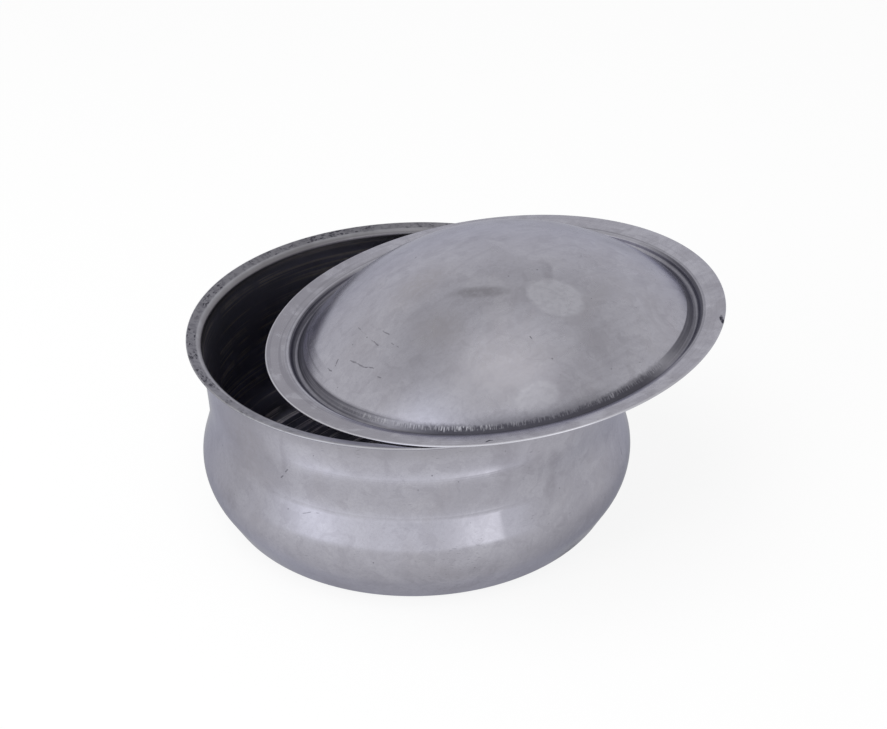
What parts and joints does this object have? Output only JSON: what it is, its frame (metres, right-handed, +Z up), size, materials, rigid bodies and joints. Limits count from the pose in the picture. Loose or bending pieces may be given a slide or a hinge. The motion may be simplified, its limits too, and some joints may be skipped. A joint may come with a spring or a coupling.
{
  "type": "lidded serving bowl",
  "caption": "Round spun-metal serving bowl with a full belly, narrow waist and flared lip, and a loose domed lid with a flange and a pressed channel, resting askew on the mouth.",
  "frame": {"origin": "middle of the flat base, on the table", "axes": "+Z up along the bowl's axis, -Y towards the viewer, +X to the viewer's right, the side to which the lid is pushed"},
  "size_m": [0.2347, 0.205, 0.1238],
  "materials": {
    "bowl_metal": "buffed, with faint spinning lines, smudges and a rough pitted lip",
    "lid_metal": "buffed, with faint spinning lines, finger marks and fine scratches"
  },
  "bodies": {
    "bowl": {"bowl": "bowl_metal"},
    "lid": {"lid": "lid_metal"}
  },
  "joints": [
    {"name": "lid_lift", "type": "slide", "parent": "bowl", "child": "lid", "axis": [0, 0, 1], "range_m": [0, 0.15]}
  ]
}
